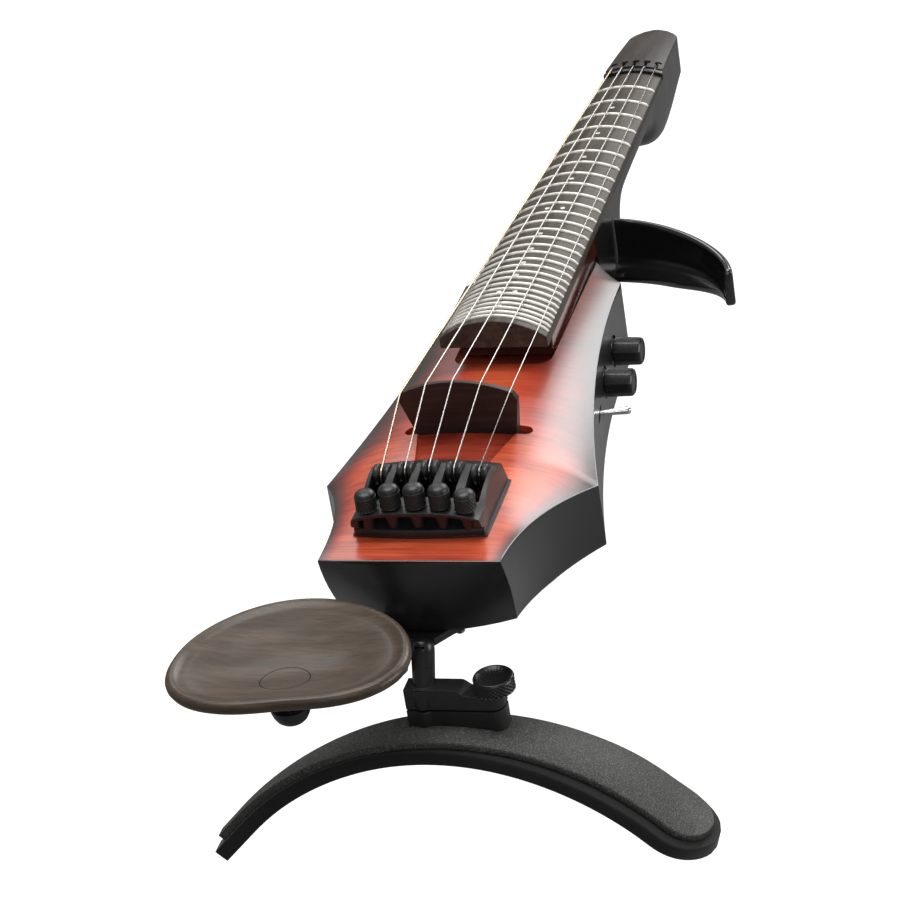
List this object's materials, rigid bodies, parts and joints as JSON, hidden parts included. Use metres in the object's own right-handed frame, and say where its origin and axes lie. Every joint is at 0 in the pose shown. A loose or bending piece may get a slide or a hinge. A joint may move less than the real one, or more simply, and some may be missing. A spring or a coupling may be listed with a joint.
{
  "type": "electric violin",
  "caption": "Headless fretted electric violin with a small arched body, a bridge-end tuner, a curved shoulder stop, a swivelling chin rest and a curved padded shoulder rest.",
  "frame": {"origin": "point on the flat back, on the centre line, straight under the bridge crown", "axes": "+X to the treble side where the knobs are, +Y along the neck to the head, +Z from the back up to the strings"},
  "size_m": [0.1866, 0.538, 0.1452],
  "materials": {
    "gloss_black_lacquer": "gloss",
    "sunburst_maple": "gloss",
    "ebony": "satin",
    "nickel_silver": "polished",
    "string_steel": "satin",
    "black_anodised": "satin",
    "black_plastic": "satin",
    "chrome": "polished",
    "chin_rest_ebony": "satin",
    "speckled_rubber": "matt",
    "black_foam": "matt",
    "circuit_board": "satin"
  },
  "bodies": {
    "violin": {"arm_pivot_pin": "string_steel", "back_cover": "black_plastic", "battery": "string_steel", "body_back": "gloss_black_lacquer", "bracket_screw_1": "string_steel", "bracket_screw_2": "string_steel", "bridge": "ebony", "bridge_pickup": "black_anodised", "chin_pivot_bolt": "string_steel", "cover_screw_1": "string_steel", "cover_screw_2": "string_steel", "fingerboard": "ebony", "fret_set": "nickel_silver", "head_plate": "ebony", "neck": "gloss_black_lacquer", "nut": "black_anodised", "output_jack": "string_steel", "preamp_board": "circuit_board", "rest_bracket": "black_anodised", "string_1": "string_steel", "string_2": "string_steel", "string_3": "string_steel", "string_4": "string_steel", "string_5": "string_steel", "toggle_switch": "chrome", "tone_pot": "string_steel", "top_plate": "sunburst_maple", "tuner_frame": "black_anodised", "upper_bout_arm": "gloss_black_lacquer", "volume_pot": "string_steel"},
    "tuner_knob_1": {"tuner_knob_1": "black_anodised"},
    "carriage_1": {"carriage_1": "string_steel"},
    "roller_1": {"roller_1": "black_anodised"},
    "tuner_knob_2": {"tuner_knob_2": "black_anodised"},
    "carriage_2": {"carriage_2": "string_steel"},
    "roller_2": {"roller_2": "black_anodised"},
    "tuner_knob_3": {"tuner_knob_3": "black_anodised"},
    "carriage_3": {"carriage_3": "string_steel"},
    "roller_3": {"roller_3": "black_anodised"},
    "tuner_knob_4": {"tuner_knob_4": "black_anodised"},
    "carriage_4": {"carriage_4": "string_steel"},
    "roller_4": {"roller_4": "black_anodised"},
    "tuner_knob_5": {"tuner_knob_5": "black_anodised"},
    "carriage_5": {"carriage_5": "string_steel"},
    "roller_5": {"roller_5": "black_anodised"},
    "volume_knob": {"volume_knob": "black_plastic"},
    "tone_knob": {"tone_knob": "black_plastic"},
    "toggle_lever": {"toggle_lever": "chrome"},
    "chin_arm": {"chin_arm": "black_anodised", "chin_post": "string_steel"},
    "chin_dish": {"chin_dish": "chin_rest_ebony", "chin_plug": "chin_rest_ebony"},
    "rest_arm": {"rest_arm": "black_anodised"},
    "shoulder_rest": {"clamp_jaw": "black_anodised", "rest_plate": "speckled_rubber", "rest_foam": "black_foam"},
    "thumb_screw": {"thumb_screw": "black_anodised"}
  },
  "joints": [
    {"name": "tuner_knob_1_turn", "type": "hinge", "parent": "violin", "child": "tuner_knob_1", "pos_m": [-0.0183, -0.0628, 0.0466], "axis": [0, 0, 1], "range_deg": [-1080, 240]},
    {"name": "carriage_1_slide", "type": "slide", "parent": "violin", "child": "carriage_1", "axis": [0, 0, 1], "range_m": [-0.0037, 0.0008]},
    {"name": "roller_1_turn", "type": "hinge", "parent": "violin", "child": "roller_1", "pos_m": [-0.0183, -0.04, 0.0477], "axis": [1, 0, 0], "range_deg": [-20, 80]},
    {"name": "tuner_knob_2_turn", "type": "hinge", "parent": "violin", "child": "tuner_knob_2", "pos_m": [-0.00915, -0.0628, 0.04782], "axis": [0, 0, 1], "range_deg": [-1080, 240]},
    {"name": "carriage_2_slide", "type": "slide", "parent": "violin", "child": "carriage_2", "axis": [0, 0, 1], "range_m": [-0.0037, 0.0008]},
    {"name": "roller_2_turn", "type": "hinge", "parent": "violin", "child": "roller_2", "pos_m": [-0.00915, -0.04, 0.0488], "axis": [1, 0, 0], "range_deg": [-20, 80]},
    {"name": "tuner_knob_3_turn", "type": "hinge", "parent": "violin", "child": "tuner_knob_3", "pos_m": [0, -0.0628, 0.048], "axis": [0, 0, 1], "range_deg": [-1080, 240]},
    {"name": "carriage_3_slide", "type": "slide", "parent": "violin", "child": "carriage_3", "axis": [0, 0, 1], "range_m": [-0.0037, 0.0008]},
    {"name": "roller_3_turn", "type": "hinge", "parent": "violin", "child": "roller_3", "pos_m": [0, -0.04, 0.0495], "axis": [1, 0, 0], "range_deg": [-20, 80]},
    {"name": "tuner_knob_4_turn", "type": "hinge", "parent": "violin", "child": "tuner_knob_4", "pos_m": [0.00915, -0.0628, 0.04782], "axis": [0, 0, 1], "range_deg": [-1080, 240]},
    {"name": "carriage_4_slide", "type": "slide", "parent": "violin", "child": "carriage_4", "axis": [0, 0, 1], "range_m": [-0.0037, 0.0008]},
    {"name": "roller_4_turn", "type": "hinge", "parent": "violin", "child": "roller_4", "pos_m": [0.00915, -0.04, 0.0488], "axis": [1, 0, 0], "range_deg": [-20, 80]},
    {"name": "tuner_knob_5_turn", "type": "hinge", "parent": "violin", "child": "tuner_knob_5", "pos_m": [0.0183, -0.0628, 0.0466], "axis": [0, 0, 1], "range_deg": [-1080, 240]},
    {"name": "carriage_5_slide", "type": "slide", "parent": "violin", "child": "carriage_5", "axis": [0, 0, 1], "range_m": [-0.0037, 0.0008]},
    {"name": "roller_5_turn", "type": "hinge", "parent": "violin", "child": "roller_5", "pos_m": [0.0183, -0.04, 0.0477], "axis": [1, 0, 0], "range_deg": [-20, 80]},
    {"name": "volume_turn", "type": "hinge", "parent": "violin", "child": "volume_knob", "pos_m": [0.03294, 0.108, 0.0185], "axis": [1, 0, 0], "range_deg": [-150, 150]},
    {"name": "tone_turn", "type": "hinge", "parent": "violin", "child": "tone_knob", "pos_m": [0.03479, 0.082, 0.0185], "axis": [1, 0, 0], "range_deg": [-150, 150]},
    {"name": "toggle_tilt", "type": "hinge", "parent": "violin", "child": "toggle_lever", "pos_m": [0.03503, 0.056, 0.0185], "axis": [0, 0, 1], "range_deg": [-26, 0]},
    {"name": "chin_arm_swing", "type": "hinge", "parent": "violin", "child": "chin_arm", "pos_m": [-0.015, -0.072, -0.008], "axis": [0, 0, 1], "range_deg": [-25, 8]},
    {"name": "chin_dish_swivel", "type": "hinge", "parent": "chin_arm", "child": "chin_dish", "pos_m": [-0.032, -0.134, 0.026], "axis": [0, 0, 1], "range_deg": [-20, 20]},
    {"name": "rest_arm_tilt", "type": "hinge", "parent": "violin", "child": "rest_arm", "pos_m": [-0.0006, -0.08, -0.0015], "axis": [1, 0, 0], "range_deg": [-10, 10]},
    {"name": "rest_yaw", "type": "hinge", "parent": "rest_arm", "child": "shoulder_rest", "pos_m": [0.0256, -0.0853, -0.0209], "axis": [0, 0, 1], "range_deg": [-12, 12]},
    {"name": "thumb_screw_turn", "type": "hinge", "parent": "rest_arm", "child": "thumb_screw", "pos_m": [0.0256, -0.0853, -0.0141], "axis": [0, 0, 1], "range_deg": [-360, 360]}
  ],
  "couplings": [
    {"joint": "tuner_knob_1_turn", "follows": "carriage_1_slide", "rad_per_m": 5026.5},
    {"joint": "roller_1_turn", "follows": "carriage_1_slide", "rad_per_m": -344.83},
    {"joint": "tuner_knob_2_turn", "follows": "carriage_2_slide", "rad_per_m": 5026.5},
    {"joint": "roller_2_turn", "follows": "carriage_2_slide", "rad_per_m": -344.83},
    {"joint": "tuner_knob_3_turn", "follows": "carriage_3_slide", "rad_per_m": 5026.5},
    {"joint": "roller_3_turn", "follows": "carriage_3_slide", "rad_per_m": -344.83},
    {"joint": "tuner_knob_4_turn", "follows": "carriage_4_slide", "rad_per_m": 5026.5},
    {"joint": "roller_4_turn", "follows": "carriage_4_slide", "rad_per_m": -344.83},
    {"joint": "tuner_knob_5_turn", "follows": "carriage_5_slide", "rad_per_m": 5026.5},
    {"joint": "roller_5_turn", "follows": "carriage_5_slide", "rad_per_m": -344.83}
  ]
}
